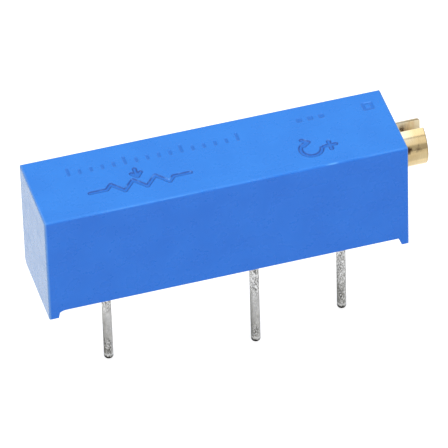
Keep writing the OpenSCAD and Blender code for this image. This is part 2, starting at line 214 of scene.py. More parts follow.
# ---------------------------------------------------------------- node graphs
def rgb(r, g, b):
    """A colour written as eight-bit sRGB, in linear light."""
    def linear(c):
        c /= 255
        return c / 12.92 if c <= 0.04045 else ((c + 0.055) / 1.055) ** 2.4
    return (linear(r), linear(g), linear(b), 1)


class Graph:
    """A node tree, with short calls for the nodes that the materials and the studio are made of."""

    def __init__(self, tree):
        self.tree = tree

    def put(self, kind, inputs, **settings):
        """A new node. Each input is named or numbered, and takes a value or another node's output."""
        node = self.tree.nodes.new(kind)
        for key, value in settings.items():
            setattr(node, key, value)
        for key, value in inputs.items():
            if isinstance(value, bpy.types.NodeSocket):
                self.tree.links.new(value, node.inputs[key])
            else:
                node.inputs[key].default_value = value
        return node

    def place(self, scale=(1, 1, 1)):
        """Object coordinates in millimetres. A scale under one stretches a pattern along that axis."""
        metres = self.put("ShaderNodeTexCoord", {}).outputs["Object"]
        mapping = self.put("ShaderNodeMapping", {"Vector": metres, "Scale": [s / MM for s in scale]})
        return mapping.outputs["Vector"]

    def normal(self):
        return self.put("ShaderNodeNewGeometry", {}).outputs["Normal"]

    def split(self, vector):
        """A vector's three numbers."""
        parts = self.put("ShaderNodeSeparateXYZ", {0: vector}).outputs
        return parts["X"], parts["Y"], parts["Z"]

    def vector_math(self, operation, a, b):
        return self.put("ShaderNodeVectorMath", {0: a, 1: b}, operation=operation).outputs

    def math(self, operation, a, b=0.5):
        return self.put("ShaderNodeMath", {0: a, 1: b}, operation=operation).outputs[0]

    def product(self, first, *rest):
        for value in rest:
            first = self.math("MULTIPLY", first, value)
        return first

    def largest(self, first, *rest):
        for value in rest:
            first = self.math("MAXIMUM", first, value)
        return first

    def gap(self, value, place):
        """How far a value is from a place, on either side."""
        return self.math("ABSOLUTE", self.math("SUBTRACT", value, place))

    def ramp(self, value, start, end, low=0.0, high=1.0):
        """Goes from low to high while a value goes from start to end, and stays level outside them."""
        inputs = {"Value": value, "From Min": start, "From Max": end, "To Min": low, "To Max": high}
        return self.put("ShaderNodeMapRange", inputs).outputs["Result"]

    def levels(self, value, start, end, stops):
        """A brightness that changes while a value goes from start to end, from (place, level) stops."""
        brightest = 2.0
        node = self.put("ShaderNodeValToRGB", {"Fac": self.ramp(value, start, end)})
        elements = node.color_ramp.elements
        while len(elements) < len(stops):
            elements.new(0.5)
        for element, (place, level) in zip(elements, stops):
            element.position = (place - start) / (end - start)
            element.color = (level / brightest, level / brightest, level / brightest, 1)
        return self.product(node.outputs["Color"], brightest)

    def noise(self, at, scale, detail=2.0, roughness=0.5, distortion=0.0):
        inputs = {"Vector": at, "Scale": scale, "Detail": detail, "Roughness": roughness,
                  "Distortion": distortion}
        return self.put("ShaderNodeTexNoise", inputs).outputs["Fac"]

    def mix(self, factor, a, b):
        """The first colour where the factor is nought, the second where it is one."""
        return self.put("ShaderNodeMix", {"Factor": factor, 6: a, 7: b}, data_type="RGBA").outputs[2]

    def outer_edges(self, radius):
        """One on outer edges and corners, nothing on flats."""
        rounded = self.put("ShaderNodeBevel", {"Radius": radius * MM}, samples=4).outputs[0]
        along = self.vector_math("DOT_PRODUCT", rounded, self.normal())["Value"]
        return self.ramp(along, 1.0, 5 / 6)

    def corner_turn(self):
        """One on faces square to an axis, up to 1.41 on an edge's rounding and up to 1.73 on a corner's."""
        sizes = self.put("ShaderNodeVectorMath", {0: self.normal()}, operation="ABSOLUTE").outputs[0]
        return self.vector_math("DOT_PRODUCT", sizes, (1, 1, 1))["Value"]

    def paint(self, shader, colour, roughness, height, strength, depth):
        """Gives a shader its colour and its roughness, and a bump of a height between nought and one."""
        relief = self.put("ShaderNodeBump", {"Height": height, "Strength": strength, "Distance": depth * MM})
        self.tree.links.new(colour, shader.inputs["Base Color"])
        self.tree.links.new(roughness, shader.inputs["Roughness"])
        self.tree.links.new(relief.outputs["Normal"], shader.inputs["Normal"])


def new_material(name, **sockets):
    """A material, the graph that paints it and its shader, with some of the shader's sockets set."""
    material = bpy.data.materials.new(name)
    material.use_nodes = True
    shader = material.node_tree.nodes["Principled BSDF"]
    for key, value in sockets.items():
        shader.inputs[key.replace("_", " ")].default_value = value
    return material, Graph(material.node_tree), shader


# ---------------------------------------------------------------- materials
def plastic(name, colour, darker, lighter, roughness, grain=9.0, edge_highlight_amount=0.35, **sockets):
    """Moulded plastic: slow tone variation, fine moulding texture, and outer edges painted lighter as a
    painted highlight.
    """
    material, g, shader = new_material(name, **sockets)
    at = g.place()
    tone = g.mix(g.ramp(g.noise(at, 0.22, 3.0), 0.3, 0.7), darker, colour)
    specks = g.ramp(g.noise(at, grain, 4.0, 0.6), 0.45, 0.75, 0.0, 0.5)
    tone = g.mix(specks, tone, colour)
    # painted highlight: the outer edges are mixed towards the lighter colour
    tone = g.mix(g.product(g.outer_edges(0.08), edge_highlight_amount), tone, lighter)
    rough = g.ramp(g.noise(at, 1.6, 4.0), 0.3, 0.7, roughness - 0.05, roughness + 0.05)
    g.paint(shader, tone, rough, g.noise(at, grain * 2.2, 3.0, 0.6), 0.12, 0.004)
    return material


def metal(name, colour, darker, lighter, roughness, stretch, scale):
    """Metal with directional fine lines, slow tarnish, and outer edges painted brighter as a painted
    highlight.
    """
    material, g, shader = new_material(name, Metallic=1.0)
    tarnish = g.ramp(g.noise(g.place(), 0.9, 4.0, 0.6), 0.32, 0.68)
    tone = g.mix(tarnish, darker, colour)
    # painted highlight: the outer edges are mixed towards the lighter colour
    tone = g.mix(g.product(g.outer_edges(0.05), 0.4), tone, lighter)
    lines = g.noise(g.place(stretch), scale, 3.0, 0.6)
    rough = g.ramp(lines, 0.3, 0.7, roughness - 0.06, roughness + 0.08)
    g.paint(shader, tone, rough, lines, 0.2, 0.004)
    return material


def housing_blue():
    """Moulded blue thermoset: satin, with faint clouds, painted light and shade by face direction, painted
    edge highlights, and pressed-in marks painted with shade and glints.
    """
    material, g, shader = new_material("housing_blue", IOR=1.53)
    at = g.place()
    x, y, z = g.split(at)
    normal_x, normal_y, normal_z = g.split(g.normal())

    # painted light and shade by face direction: the top is painted a touch greener than the sides, and the
    # far end greener still
    clouds = g.ramp(g.noise(at, 0.5, 4.0, 0.55), 0.35, 0.65)
    sides = g.mix(clouds, rgb(21, 112, 221), rgb(26, 117, 226))
    top = g.mix(clouds, rgb(24, 119, 216), rgb(29, 124, 221))
    tone = g.mix(g.ramp(normal_z, 0.3, 0.9), sides, top)
    tone = g.mix(g.ramp(normal_x, -0.98, -0.8, 1.0, 0.0), tone, rgb(18, 131, 208))

    # painted highlights: edges are painted lighter in patches, most of all along the far stretch of the top's
    # front edge, at one spot near the head's end and up the far corner
    lighter_spot_x = 11.6
    patches = g.ramp(g.noise(g.place((0.35, 1, 1)), 1.2, 3.0), 0.38, 0.62)
    stretch = g.product(g.ramp(x, -2.2, 0.2, 0.0, 0.5), g.ramp(x, 2.6, 5.4, 1.0, 0.0))
    lighter_spot = g.ramp(g.gap(x, lighter_spot_x), 0.15, 0.4, 1.0, 0.0)
    upright = g.ramp(x, FAR_X, FAR_X + 0.3, 0.6, 0.0)
    front = g.ramp(y, FRONT_Y, FRONT_Y + 0.3, 1.0, 0.0)
    highlight_runs = g.product(g.largest(stretch, lighter_spot, upright), front, g.ramp(patches, 0.0, 1.0, 0.4, 1.0))
    crest = g.ramp(g.corner_turn(), 1.34, 1.41)
    painted_edge_highlight = g.product(crest, g.largest(g.product(patches, 0.12), highlight_runs))
    # painted highlight on the crests of the edges' roundings
    tone = g.mix(painted_edge_highlight, tone, rgb(120, 192, 255))
    # painted light: the far end's rounded edges are painted paler, in place of the shade on them
    far_rim_light = g.product(g.ramp(g.corner_turn(), 1.02, 1.3), g.ramp(x, FAR_X, FAR_X + 0.14, 0.7, 0.0))
    tone = g.mix(far_rim_light, tone, rgb(116, 170, 236))

    # painted shade in the marks: their floors are painted a little darker than the face and their walls
    # darker still, with a few painted glints
    border = 0.2
    middle_x, half_l = (FAR_X + HEAD_END_X) / 2, (HEAD_END_X - FAR_X) / 2
    marked = g.product(g.math("LESS_THAN", g.math("ABSOLUTE", y), BACK_Y - border),
                       g.math("LESS_THAN", g.gap(x, middle_x), half_l - border),
                       g.math("GREATER_THAN", z, TOP_Z - BELOW_MARKS))
    sunk_shade = g.product(marked, g.ramp(z, TOP_Z - 0.004, TOP_Z - 0.03))
    tone = g.mix(sunk_shade, tone, rgb(5, 106, 202))
    wall = g.product(marked, g.ramp(normal_z, 0.8, 0.993, 1.0, 0.0))
    tone = g.mix(wall, tone, rgb(0, 68, 152))
    # painted glints on the mark walls that face the front
    glint = g.product(g.ramp(normal_y, -0.42, -0.2, 1.0, 0.0),
                      g.ramp(g.noise(at, 2.6), 0.52, 0.66, 0.0, 0.6), marked)
    tone = g.mix(glint, tone, rgb(86, 166, 255))

    # the far end is free of grain, which would show as noise in its grazing reflection
    rough = g.ramp(g.noise(at, 1.4, 4.0), 0.3, 0.7, 0.25, 0.31)
    grain = g.product(g.noise(at, 7.0, 3.0, 0.55), g.ramp(x, FAR_X + 0.1, FAR_X + 0.6))
    g.paint(shader, tone, rough, grain, 0.02, 0.004)
    return material


def brass():
    """Turned brass: fine rings, light tarnish, a sawn slot painted paler as painted light, painted shade in
    the slot and on the head's front, and a rim painted darker as painted shade.
    """
    material, g, shader = new_material("screw_brass", Metallic=1.0)
    at = g.place()
    x, y, z = g.split(at)
    out, up = g.math("SUBTRACT", x, HEAD_END_X), g.math("SUBTRACT", z, AXIS_Z)
    rings = g.noise(g.place((1, 0.06, 0.06)), 30.0, 3.0, 0.65)
    tarnish = g.ramp(g.noise(at, 1.1, 4.0, 0.6), 0.3, 0.72)
    tone = g.mix(tarnish, rgb(228, 201, 150), rgb(245, 223, 174))
    tone = g.mix(g.ramp(rings, 0.45, 0.75, 0.0, 0.35), tone, rgb(206, 178, 126))

    # the sawn slot is duller than the turned skin, with streaks up its walls, and is painted paler as painted
    # light, palest towards the end
    sawn = g.product(g.math("LESS_THAN", g.math("ABSOLUTE", y), SLOT_W / 2 + 0.015),
                     g.math("GREATER_THAN", out, 0.21))
    streaks = g.ramp(g.noise(g.place((1, 1, 0.1)), 15.0, 3.0, 0.6, 0.3), 0.36, 0.66)
    pale = g.mix(streaks, rgb(255, 244, 206), rgb(242, 212, 164))
    pale = g.mix(g.ramp(out, 1.05, 1.3, 0.0, 0.9), pale, rgb(255, 244, 214))
    tone = g.mix(sawn, tone, pale)
    # painted light on the upper part of the slot walls near the housing
    fresh = g.product(g.ramp(out, 0.2, 0.9, 0.7, 0.0), g.ramp(up, 0.7, 0.95))
    tone = g.mix(fresh, tone, rgb(255, 250, 232))

    # painted shade deep in the slot, and in two spots on the front of the head
    shade_noise = g.noise(g.place((1, 1, 0.7)), 5.0, 4.0, 0.65, 0.6)
    painted_shade = g.product(g.ramp(shade_noise, 0.42, 0.54, 0.3, 1.0), g.ramp(out, 0.55, 0.9, 1.0, 0.0), sawn,
                        g.ramp(up, 0.75, 1.1, 1.0, 0.0))
    for spot_out, spot_up, strength in ((0.43, 0.46, 0.95), (0.92, 0.42, 0.55)):
        centre = (HEAD_END_X + spot_out, -1.06, AXIS_Z + spot_up)
        away = g.vector_math("DISTANCE", at, centre)["Value"]
        ragged = g.math("ADD", away, g.ramp(shade_noise, 0.0, 1.0, -0.3, 0.3))
        painted_shade = g.largest(painted_shade, g.ramp(ragged, 0.08, 0.22, strength, 0.0))
    tone = g.mix(painted_shade, tone, rgb(84, 56, 38))

    # painted shade: the rim around the end face is painted darker
    turned_out = g.split(g.normal())[0]
    rim = g.product(g.ramp(turned_out, 0.1, 0.4, 0.0, 0.75), g.ramp(turned_out, 0.9, 0.99, 1.0, 0.0),
                    g.math("GREATER_THAN", x, SCREW_HIGH[0] - 0.07))
    tone = g.mix(rim, tone, rgb(150, 116, 70))

    skin = g.ramp(g.noise(at, 2.4, 4.0), 0.3, 0.7, 0.1, 0.2)
    rough = g.math("ADD", skin, g.product(sawn, 0.5))
    g.tree.links.new(g.ramp(sawn, 0.0, 1.0, 1.0, 0.4), shader.inputs["Metallic"])
    g.paint(shader, tone, rough, rings, 0.25, 0.006)
    return material


def dipped_tin():
    """Hot dipped tin with flecks and pits, and painted light and shade: lighter near the board, darker
    towards the cut tip, a darker flank and end, and painted glints.
    """
    material, g, shader = new_material("pin_tin", Metallic=1.0, Specular_Tint=(0.4, 0.4, 0.39, 1))
    low, high = mm_box("pin_2")
    middle_x, middle_tip_z = (low[0] + high[0]) / 2, low[2]
    outer_tip_z = mm_box("pin_1")[0][2]
    x, _, z = g.split(g.place())
    # painted light and shade: the tin is painted lighter near the board and darker towards the tip
    near_board = g.ramp(z, -5.0, -1.4)

    # flecks are dense at both ends of a pin and thin out half way down, but not on the pin at the head's end
    ends = g.largest(g.ramp(g.gap(z, -3.2), 0.8, 1.5, 0.12, 1.0),
                     g.ramp(x, middle_x + 2, middle_x + 3, 0.0, 0.9))
    stretched = g.place((1, 1, 0.45))
    mottle = g.noise(stretched, 3.4, 5.0, 0.62, 0.8)
    uneven = g.product(g.math("SUBTRACT", mottle, 0.48), g.ramp(ends, 0.0, 1.0, 0.5, 1.0))
    shade = g.mix(near_board, rgb(124, 123, 119), rgb(180, 180, 177))
    base = g.mix(near_board, rgb(174, 173, 168), rgb(232, 232, 230))
    tone = g.mix(g.ramp(uneven, -0.12, 0.12), shade, base)
    fine = g.noise(g.place((1, 1, 0.4)), 20.0, 3.0, 0.6)
    dark = g.product(g.ramp(fine, 0.52, 0.6, 0.0, 0.9), ends)
    tone = g.mix(dark, tone, rgb(70, 70, 66))
    # the near-white flecks are painted glints, strongest near the board
    light = g.product(g.ramp(fine, 0.4, 0.46, 0.9, 0.0), g.ramp(near_board, 0.0, 0.6, 0.65, 1.0), ends)
    tone = g.mix(light, tone, rgb(254, 254, 253))

    # painted shade and light: towards the tip the flank on the far end's side is painted darker and the other
    # lighter
    side = g.split(g.normal())[0]
    near_tip = g.ramp(near_board, 0.0, 1.0, 0.5, 0.0)
    tone = g.mix(g.product(g.ramp(side, -0.95, -0.5, 1.0, 0.0), near_tip), tone, rgb(92, 92, 88))
    tone = g.mix(g.product(g.ramp(side, 0.2, 0.8), near_tip), tone, rgb(250, 250, 248))

    # painted shade and highlight: the cut end is painted dark, more on the far end's side, with a painted
    # highlight ring above it
    tip_z = g.ramp(g.gap(x, middle_x), 1.0, 1.1, middle_tip_z, outer_tip_z)
    above_tip = g.math("SUBTRACT", z, tip_z)
    tone = g.mix(g.ramp(g.gap(above_tip, 0.32), 0.02, 0.08, 0.4, 0.0), tone, rgb(252, 252, 250))
    cut = g.product(g.ramp(above_tip, 0.14, 0.24, 1.0, 0.0), g.ramp(side, -0.1, 0.6, 1.0, 0.35))
    tone = g.mix(cut, tone, rgb(18, 18, 17))
    rough = g.ramp(g.noise(stretched, 7.0, 3.0), 0.3, 0.7, 0.24, 0.46)
    g.paint(shader, tone, rough, mottle, 0.6, 0.03)
    return material


BLUE = housing_blue()
BRASS = brass()
TIN = dipped_tin()
EPOXY = plastic("seal_epoxy", rgb(30, 84, 160), rgb(24, 72, 146), rgb(52, 110, 190), 0.22, grain=4.0,
                edge_highlight_amount=0.15, Specular_IOR_Level=0.5)
CARRIAGE = plastic("carriage_nylon", rgb(228, 225, 214), rgb(216, 212, 198), rgb(244, 242, 236), 0.48,
                   Subsurface_Weight=0.05)
RUBBER = plastic("o_ring_rubber", rgb(26, 26, 27), rgb(18, 18, 19), rgb(48, 48, 50), 0.55, grain=14.0,
                 edge_highlight_amount=0.1)
ALUMINA = plastic("alumina_white", rgb(236, 235, 230), rgb(226, 224, 216), rgb(248, 247, 244), 0.6,
                  grain=18.0, edge_highlight_amount=0.2)
CERMET = plastic("cermet_film", rgb(34, 34, 37), rgb(24, 24, 27), rgb(60, 60, 64), 0.38, grain=16.0,
                 edge_highlight_amount=0.25)
STEEL = metal("retainer_steel", rgb(196, 196, 194), rgb(170, 170, 168), rgb(222, 222, 220), 0.3,
              (1, 0.1, 1), 22.0)
SPRING = metal("spring_alloy", rgb(222, 200, 150), rgb(196, 172, 120), rgb(240, 224, 184), 0.26,
               (0.15, 1, 1), 24.0)
WIRE = metal("brush_wire", rgb(210, 209, 204), rgb(186, 185, 180), rgb(232, 231, 228), 0.24,
             (0.1, 1, 1), 40.0)
SILVER = metal("silver_film", rgb(200, 196, 186), rgb(170, 165, 152), rgb(218, 215, 206), 0.42,
               (1, 1, 1), 16.0)
SOLDER = metal("solder_tin", rgb(198, 199, 202), rgb(168, 169, 172), rgb(220, 221, 224), 0.3,
               (1, 1, 1), 5.0)


# ---------------------------------------------------------------- housing
MARK_WALL_W = 0.09
LIP_SHARE = 0.14
LIP_W = 0.045


def flat_top_border(bm):
    """The flat top's border, where the rounded edges begin: lowest and highest x, lowest and highest y."""
    flat = [f for f in bm.faces if f.normal.z > 0.9999 and abs(f.calc_center_median().z - TOP_Z) < 0.002]
    xs = [v.co.x for f in flat for v in f.verts]
    ys = [v.co.y for f in flat for v in f.verts]
    return min(xs), max(xs), min(ys), max(ys)


def mark_rims(bm, border):
    """Each straight piece of a mark's rim on the flat top: its two ends and the mark's depth there."""
    x0, x1, y0, y1 = border
    rims = []
    for e in bm.edges:
        if len(e.link_faces) != 2 or any(abs(v.co.z - TOP_Z) > 0.002 for v in e.verts):
            continue
        walls = [f for f in e.link_faces if abs(f.normal.z) < 0.01]
        flats = [f for f in e.link_faces if f.normal.z > 0.99]
        inside = all(x0 + 0.01 < v.co.x < x1 - 0.01 and y0 + 0.01 < v.co.y < y1 - 0.01 for v in e.verts)
        if walls and flats and inside:
            a, b = e.verts
            depth = TOP_Z - min(v.co.z for v in walls[0].verts)
            rims.append((a.co.x, a.co.y, b.co.x, b.co.y, depth))
    return np.array(rims)


def pressed_depth(points, rims):
    """How deep the top is pressed in at each point: a soft wall around each mark, and a low lip outside."""
    a, b, depth = rims[:, 0:2], rims[:, 2:4], rims[:, 4]
    run = b - a
    length = (run ** 2).sum(1)
    result = np.zeros(len(points))
    batch = 4000
    for start in range(0, len(points), batch):
        p = points[start:start + batch]
        from_a = p[:, None, :] - a[None]
        t = np.clip((from_a * run).sum(2) / length, 0, 1)
        gap = np.linalg.norm(from_a - t[:, :, None] * run, axis=2)
        nearest = gap.argmin(1)

        # a point is inside a mark if a line from it towards +X crosses the rims an odd number of times
        crosses = ((a[:, 1] > p[:, None, 1]) != (b[:, 1] > p[:, None, 1]))
        with np.errstate(divide="ignore", invalid="ignore"):
            at_x = a[:, 0] + (p[:, None, 1] - a[:, 1]) / run[:, 1] * run[:, 0]
        inside = (crosses & (p[:, None, 0] < at_x)).sum(1) % 2 == 1
        inwards = np.where(inside, 1, -1) * gap[np.arange(len(p)), nearest]
        s = np.clip((inwards + MARK_WALL_W / 2) / MARK_WALL_W, 0, 1)
        lip = LIP_SHARE * np.exp(-((inwards + MARK_WALL_W) / LIP_W) ** 2)
        result[start:start + batch] = depth[nearest] * (s * s * (3 - 2 * s) - lip)
    return result


def split_edge(first, last, count):
    """Splits the edge between two vertices evenly and returns its vertices in order."""
    verts = [first]
    edge = next(e for e in first.link_edges if e.other_vert(first) is last)
    for i in range(count - 1):
        _, fresh = bmesh.utils.edge_split(edge, verts[-1], 1 / (count - i))
        verts.append(fresh)
        edge = next(e for e in fresh.link_edges if e.other_vert(fresh) is last)
    return verts + [last]


def press_marks(bm, border, rims):
    """Fills the gap in the top with a fine grid, pressed in along the marks."""
    x0, x1, y0, y1 = border
    spacing = 0.036
    nx, ny = round((x1 - x0) / spacing), round((y1 - y0) / spacing)
    xs, ys = np.linspace(x0, x1, nx + 1), np.linspace(y0, y1, ny + 1)
    points = np.array([(x, y) for y in ys for x in xs])
    depth = pressed_depth(points, rims).reshape(ny + 1, nx + 1)

    def corner(x, y):
        place = Vector((x, y, TOP_Z))
        return min((v for v in bm.verts if v.is_boundary), key=lambda v: (v.co - place).length)
    far_front, far_back, near_front, near_back = [corner(x, y) for x in (x0, x1) for y in (y0, y1)]
    front, back = split_edge(far_front, near_front, nx), split_edge(far_back, near_back, nx)
    far, near = split_edge(far_front, far_back, ny), split_edge(near_front, near_back, ny)
    rows = [front]
    for j in range(1, ny):
        inner = [bm.verts.new((xs[i], ys[j], TOP_Z - depth[j, i])) for i in range(1, nx)]
        rows.append([far[j]] + inner + [near[j]])
    rows.append(back)
    for j in range(ny):
        for i in range(nx):
            bm.faces.new((rows[j][i], rows[j][i + 1], rows[j + 1][i + 1], rows[j + 1][i]))


def build_housing():
    bm = cad_copy("housing")
    border = flat_top_border(bm)
    x0, x1, y0, y1 = border
    rims = mark_rims(bm, border)

    def on_top(v):
        return (v.co.z > TOP_Z - BELOW_MARKS and x0 - 0.001 < v.co.x < x1 + 0.001
                and y0 - 0.001 < v.co.y < y1 + 0.001)
    bmesh.ops.delete(bm, geom=[f for f in bm.faces if all(map(on_top, f.verts))], context="FACES")
    dissolve_flat(bm)

    # the crisp edges of the rim, the standoffs and the pocket's mouth are softened
    def outer(e):
        z = [v.co.z for v in e.verts]
        return max(z) < 0.5 or (max(z) < 1.0 and all(abs(v.co.x - FAR_X) < 0.01 for v in e.verts))
    bevel(bm, sharp_edges(bm, 40, outer), 0.035)
    press_marks(bm, border, rims)
    split_wide(bm)

    def favour_top(normal):
        return np.where(normal[:, 2] > 0.99999, 1e4, 1.0)
    make_piece(bm, "housing_moulding", "case", "housing", BLUE, 38, favour_top)


# ---------------------------------------------------------------- adjusting screw
FORK_LOW, FORK_HIGH = mm_box("screw_retainer")
RING_LOW, RING_HIGH = mm_box("o_ring")
AXIAL_PLAY = 0.08
NECK_X = (FORK_LOW[0] - AXIAL_PLAY, FORK_HIGH[0] + AXIAL_PLAY)
GROOVE_X = (RING_LOW[0] - AXIAL_PLAY, RING_HIGH[0] + AXIAL_PLAY)
FAR_JOURNAL_L = 0.6
THREAD_X = (SCREW_LOW[0] + FAR_JOURNAL_L, NECK_X[0])
THREAD_PITCH = 0.8
THREAD_R = 0.9
THREAD_ROOT_R = 0.7
FAR_JOURNAL_R = 0.5
JOURNAL_R = 0.98
NECK_R = 0.6
COLLAR_X = (HEAD_END_X + 0.04, HEAD_END_X + 0.24)
COLLAR_R = (SCREW_HIGH[2] - SCREW_LOW[2]) / 2
HEAD_X = SCREW_HIGH[0]
HEAD_R = COLLAR_R - 0.01
HEAD_RIM_R = 0.06


def thread_depth(x, angle):
    """How far the thread is cut in at a place along and around the screw, right-handed."""
    flank_share, root_share, run_out = 0.28, 0.2, 0.5
    phase = ((x - THREAD_X[0]) / THREAD_PITCH - angle / (2 * math.pi)) % 1
    from_root = abs(phase - 0.5) - root_share / 2
    cut = 1 - min(max(from_root / flank_share, 0), 1)
    ends = min((x - THREAD_X[0]) / run_out, (THREAD_X[1] - x) / run_out, 1)
    return (THREAD_R - THREAD_ROOT_R) * cut * cut * (3 - 2 * cut) * max(ends, 0)


def build_screw():
    broken, chamfer, thread_chamfer, collar_chamfer = 0.02, 0.05, 0.06, 0.03
    tip_x = SCREW_LOW[0]
    step = 0.05
    count = int((THREAD_X[1] - THREAD_X[0]) / step)
    crests = [THREAD_X[0] + i * step for i in range(1, count)]
    plain = thread_chamfer + broken
    profile = [(tip_x, 0), (tip_x, FAR_JOURNAL_R - chamfer), (tip_x + chamfer, FAR_JOURNAL_R),
               (THREAD_X[0], FAR_JOURNAL_R), (THREAD_X[0], THREAD_R - thread_chamfer),
               (THREAD_X[0] + thread_chamfer, THREAD_R)]
    profile += [(x, THREAD_R) for x in crests if THREAD_X[0] + plain < x < THREAD_X[1] - plain]
    profile += [(THREAD_X[1] - thread_chamfer, THREAD_R), (THREAD_X[1], THREAD_R - thread_chamfer),
                (NECK_X[0], NECK_R), (NECK_X[1], NECK_R),
                (NECK_X[1], JOURNAL_R - broken), (NECK_X[1] + broken, JOURNAL_R),
                (GROOVE_X[0] - broken, JOURNAL_R), (GROOVE_X[0], JOURNAL_R - broken),
                (GROOVE_X[0], NECK_R), (GROOVE_X[1], NECK_R),
                (GROOVE_X[1], JOURNAL_R - broken), (GROOVE_X[1] + broken, JOURNAL_R),
                (COLLAR_X[0], JOURNAL_R), (COLLAR_X[0], COLLAR_R - collar_chamfer),
                (COLLAR_X[0] + collar_chamfer, COLLAR_R), (COLLAR_X[1] - 0.01, COLLAR_R),
                (COLLAR_X[1], HEAD_R)]
    profile += [(HEAD_X - HEAD_RIM_R * (1 - math.sin(a)), HEAD_R - HEAD_RIM_R * (1 - math.cos(a)))
                for a in quarter_turn()]
    profile.append((HEAD_X, 0))
    bm = lathe(profile, (0, 0, AXIS_Z), "X", 96)
    for v in bm.verts:
        y, z = v.co.y, v.co.z - AXIS_Z
        r = math.hypot(y, z)
        if abs(r - THREAD_R) < 1e-4 and THREAD_X[0] < v.co.x < THREAD_X[1]:
            k = (r - thread_depth(v.co.x, math.atan2(z, y))) / r
            v.co.y, v.co.z = y * k, AXIS_Z + z * k
    obj = make_piece(bm, "adjusting_screw", "screw", "lead_screw", BRASS, 40)
    cut_slot(obj)


def slot_cutter(floor_x):
    """A block that fills the driver slot and reaches past the head on three sides."""
    past_face, past_sides = 0.4, 0.3
    length = HEAD_X + past_face - floor_x
    bm = bmesh.new()
    bmesh.ops.create_cube(bm, size=1)
    bmesh.ops.scale(bm, vec=(length, SLOT_W, 2 * (HEAD_R + past_sides)), verts=bm.verts)
    bmesh.ops.translate(bm, vec=(floor_x + length / 2, 0, AXIS_Z), verts=bm.verts)
    mesh = bpy.data.meshes.new("slot_cutter")
    to_mesh(bm, mesh)
    cutter = bpy.data.objects.new("slot_cutter", mesh)
    scene.collection.objects.link(cutter)
    return cutter


def cut_slot(obj):
    """Cuts the driver slot, with broken edges, into the head."""
    floor_x = COLLAR_X[1] - 0.02
    cutter = slot_cutter(floor_x)
    modifier = obj.modifiers.new("slot", "BOOLEAN")
    modifier.operation = "DIFFERENCE"
    modifier.solver = "EXACT"
    modifier.object = cutter
    bpy.context.view_layer.update()
    deps = bpy.context.evaluated_depsgraph_get()
    result = bpy.data.meshes.new_from_object(obj.evaluated_get(deps))
    obj.modifiers.clear()
    bpy.data.objects.remove(cutter)
    bm = bmesh.new()
    bm.from_mesh(result)
    bmesh.ops.scale(bm, vec=(1 / MM,) * 3, verts=bm.verts)
    bmesh.ops.remove_doubles(bm, verts=bm.verts, dist=0.0005)
    bm.normal_update()

    def on_slot(e):
        return all(abs(abs(v.co.y) - SLOT_W / 2) < 0.002 and v.co.x > floor_x + 0.001 for v in e.verts)
    bevel(bm, sharp_edges(bm, 35, on_slot), 0.025)
    to_mesh(bm, result)
    obj.data = result
    smooth_normals(result, 40)


# ---------------------------------------------------------------- pins
def build_pin(node, seed):
    """A tinned round pin, bare and a little thinner inside the housing, with a flat head."""
    low, high = mm_box(node)
    x, y = (low[0] + high[0]) / 2, (low[1] + high[1]) / 2
    bottom, top = low[2], high[2]
    pin_r, tip_r, bare_r, broken = 0.255, 0.13, 0.235, 0.02
    tin_top, tin_end_r = 0.43, 0.245
    head_z, head_r = top - 0.1, (high[0] - low[0]) / 2
    steps = 110
    tip = [(bottom + tip_r * (1 - math.cos(a)), pin_r - tip_r * (1 - math.sin(a))) for a in quarter_turn()]
    start = tip[-1][0]
    tinned = [(start + (tin_top - start) * i / steps, pin_r) for i in range(1, steps + 1)]
    head = [(tin_top, tin_end_r), (head_z, bare_r), (head_z, head_r - broken), (head_z + broken, head_r),
            (top - broken, head_r), (top, head_r - broken), (top, 0)]
    bm = lathe([(bottom, 0)] + tip + tinned + head, (x, y, 0), "Z", 40)

    # the dipped tin is a little uneven
    for v in bm.verts:
        flat = Vector((v.co.x - x, v.co.y - y, 0))
        if v.co.z < tin_top - 0.01 and flat.length > 0.05:
            where = Vector((flat.x * 4 + seed, flat.y * 4, v.co.z * 2.2))
            ripple = noise.noise(where) * 0.5 + noise.noise(where * 2.7) * 0.3
            v.co -= flat.normalized() * 0.008 * (0.8 + ripple)
    make_piece(bm, node + "_wire", "case", node, TIN, 50)


build_housing()
build_screw()
for i, n in enumerate(("pin_1", "pin_2", "pin_3")):
    build_pin(n, i * 7.3)


# ---------------------------------------------------------------- the pieces inside
def refine(node, body, material, name, width, degrees=40):
    """The CAD piece with its crisp edges broken."""
    bm = cad_copy(node)
    dissolve_flat(bm)
    bevel(bm, sharp_edges(bm, degrees), width)
    split_wide(bm)
    make_piece(bm, name, body, node, material, 38)


refine("carriage", "slider", CARRIAGE, "carriage_saddle", 0.03)
refine("wiper_spring", "slider", SPRING, "wiper_spring_leaf", 0.01)
refine("track_brush", "slider", WIRE, "track_brush_wires", 0.008)
refine("collector_brush", "slider", WIRE, "collector_brush_wires", 0.008)
refine("o_ring", "screw", RUBBER, "o_ring_seal", 0.01)
refine("screw_retainer", "case", STEEL, "retainer_fork", 0.02)
refine("base_seal", "case", EPOXY, "base_seal_fill", 0.03)
refine("substrate", "case", ALUMINA, "substrate_plate", 0.02)
refine("resistive_track", "case", CERMET, "resistive_film", 0.006)
refine("collector_track", "case", SILVER, "collector_film", 0.006)
for n in ("end_pad_1", "end_pad_3"):
    refine(n, "case", SILVER, n + "_film", 0.006)
for n in ("solder_1", "solder_2", "solder_3"):
    refine(n, "case", SOLDER, n + "_joint", 0.01, 60)


